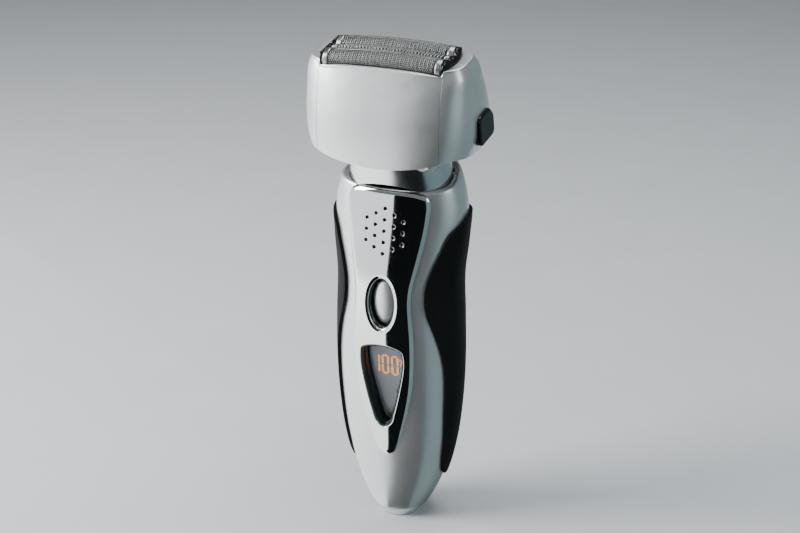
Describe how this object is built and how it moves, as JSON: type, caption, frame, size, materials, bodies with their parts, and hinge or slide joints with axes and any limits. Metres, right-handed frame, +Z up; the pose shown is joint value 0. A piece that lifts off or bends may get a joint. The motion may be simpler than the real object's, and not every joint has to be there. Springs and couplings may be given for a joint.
{
  "type": "foil shaver",
  "caption": "Cordless wet and dry foil shaver: swinging head with floating foils, chrome front panel with display and button, rubber side grips and a rear pop-up trimmer.",
  "frame": {"origin": "centre of the small flat face that the shaver stands on", "axes": "+Z up along the handle to the head, -Y out of the front panel, +X to the right as seen from the front"},
  "size_m": [0.0572, 0.0398, 0.1616],
  "materials": {
    "silver": "satin silver lacquer",
    "chrome": "mirror bright plating",
    "button_silver": "fine satin",
    "black_rubber": "fine matte elastomer",
    "black_gloss": "gloss",
    "black_plastic": "fine spark texture",
    "well_dark": "semi gloss",
    "glass": "clear flat window",
    "display": "grey blue display",
    "foil_steel": "etched thin sheet",
    "blade_steel": "ground",
    "steel": "plain",
    "copper": "enamelled copper wire",
    "board_green": "solder mask",
    "cell_wrap": "shrink wrap",
    "magnet": "nickel plated",
    "grey_plastic": "moulded"
  },
  "bodies": {
    "handle": {"front_housing": "silver", "rear_housing": "silver", "housing_posts": "grey_plastic", "grip_right": "black_rubber", "grip_left": "black_rubber", "front_panel": "chrome", "button_well": "well_dark", "display_bezel": "well_dark", "display_frame": "grey_plastic", "display_window": "glass", "display_module": "display", "circuit_board": "board_green", "tact_switch": "black_plastic", "board_chips": "black_plastic", "battery": "cell_wrap", "battery_holder": "grey_plastic", "charging_inlet": "black_plastic", "inlet_pins": "steel", "inlet_seal": "black_rubber", "housing_screws": "steel", "neck_cover": "silver", "neck_nubs": "silver", "pivot_pin": "steel", "trimmer_rail": "black_plastic"},
    "power_button": {"power_button": "button_silver"},
    "head": {"head_base": "black_plastic", "head_cover": "black_plastic", "drive_seals": "black_rubber", "motor_core": "steel", "motor_coil": "copper", "pivot_bushes": "steel"},
    "foil_frame": {"foil_frame_front": "silver", "foil_frame_rear": "silver", "foil_cassette": "black_gloss"},
    "release_right": {"release_button_right": "black_gloss"},
    "release_left": {"release_button_left": "black_gloss"},
    "foil_front": {"outer_foil_front": "foil_steel"},
    "foil_rear": {"outer_foil_rear": "foil_steel"},
    "foil_slit": {"slit_foil": "foil_steel"},
    "outer_drive": {"outer_mover": "grey_plastic", "outer_drive_pins": "steel", "outer_magnets": "magnet", "blade_spring_front": "steel", "blade_spring_rear": "steel"},
    "slit_drive": {"slit_mover": "grey_plastic", "slit_drive_pin": "steel", "slit_magnets": "magnet", "slit_spring": "steel"},
    "cutter_front": {"inner_blades_front": "blade_steel", "blade_holder_front": "black_plastic"},
    "cutter_rear": {"inner_blades_rear": "blade_steel", "blade_holder_rear": "black_plastic"},
    "cutter_slit": {"slit_cutter": "blade_steel", "slit_cutter_holder": "black_plastic"},
    "trimmer": {"trimmer_carriage": "black_plastic", "trimmer_comb": "blade_steel"},
    "trimmer_cutter": {"trimmer_cutter": "blade_steel"}
  },
  "joints": [
    {"name": "head_swing", "type": "hinge", "parent": "handle", "child": "head", "pos_m": [0, 0, 0.122], "axis": [0, 0.9781, 0.2079], "range_deg": [-8, 8], "stiffness_Nm_per_rad": 0.25},
    {"name": "frame_lift", "type": "slide", "parent": "head", "child": "foil_frame", "axis": [0, -0.2079, 0.9781], "range_m": [0, 0.03]},
    {"name": "release_right_press", "type": "slide", "parent": "foil_frame", "child": "release_right", "axis": [-1, 0, 0], "range_m": [0, 0.0012], "stiffness_N_per_m": 400, "springref_m": -0.001},
    {"name": "release_left_press", "type": "slide", "parent": "foil_frame", "child": "release_left", "axis": [1, 0, 0], "range_m": [0, 0.0012], "stiffness_N_per_m": 400, "springref_m": -0.001},
    {"name": "foil_front_float", "type": "slide", "parent": "foil_frame", "child": "foil_front", "axis": [0, 0.2079, -0.9781], "range_m": [0, 0.0012], "stiffness_N_per_m": 300, "springref_m": -0.0005},
    {"name": "foil_rear_float", "type": "slide", "parent": "foil_frame", "child": "foil_rear", "axis": [0, 0.2079, -0.9781], "range_m": [0, 0.0012], "stiffness_N_per_m": 300, "springref_m": -0.0005},
    {"name": "foil_slit_float", "type": "slide", "parent": "foil_frame", "child": "foil_slit", "axis": [0, 0.2079, -0.9781], "range_m": [0, 0.0012], "stiffness_N_per_m": 300, "springref_m": -0.0005},
    {"name": "outer_stroke", "type": "slide", "parent": "head", "child": "outer_drive", "axis": [1, 0, 0], "range_m": [-0.0011, 0.0011], "stiffness_N_per_m": 1500},
    {"name": "slit_stroke", "type": "slide", "parent": "head", "child": "slit_drive", "axis": [1, 0, 0], "range_m": [-0.0011, 0.0011], "stiffness_N_per_m": 1500},
    {"name": "cutter_front_float", "type": "slide", "parent": "outer_drive", "child": "cutter_front", "axis": [0, 0.2079, -0.9781], "range_m": [0, 0.0012], "stiffness_N_per_m": 300, "springref_m": -0.0005},
    {"name": "cutter_rear_float", "type": "slide", "parent": "outer_drive", "child": "cutter_rear", "axis": [0, 0.2079, -0.9781], "range_m": [0, 0.0012], "stiffness_N_per_m": 300, "springref_m": -0.0005},
    {"name": "cutter_slit_float", "type": "slide", "parent": "slit_drive", "child": "cutter_slit", "axis": [0, 0.2079, -0.9781], "range_m": [0, 0.0012], "stiffness_N_per_m": 300, "springref_m": -0.0005},
    {"name": "power_press", "type": "slide", "parent": "handle", "child": "power_button", "axis": [0, 1, 0], "range_m": [0, 0.0008], "stiffness_N_per_m": 600, "springref_m": -0.0005},
    {"name": "trimmer_rise", "type": "slide", "parent": "handle", "child": "trimmer", "axis": [0, 0, 1], "range_m": [0, 0.012]},
    {"name": "trimmer_stroke", "type": "slide", "parent": "trimmer", "child": "trimmer_cutter", "axis": [1, 0, 0], "range_m": [-0.001, 0.001]}
  ],
  "couplings": [
    {"joint": "slit_stroke", "follows": "outer_stroke", "ratio": -1},
    {"joint": "cutter_front_float", "follows": "foil_front_float", "ratio": 1},
    {"joint": "cutter_rear_float", "follows": "foil_rear_float", "ratio": 1},
    {"joint": "cutter_slit_float", "follows": "foil_slit_float", "ratio": 1}
  ]
}
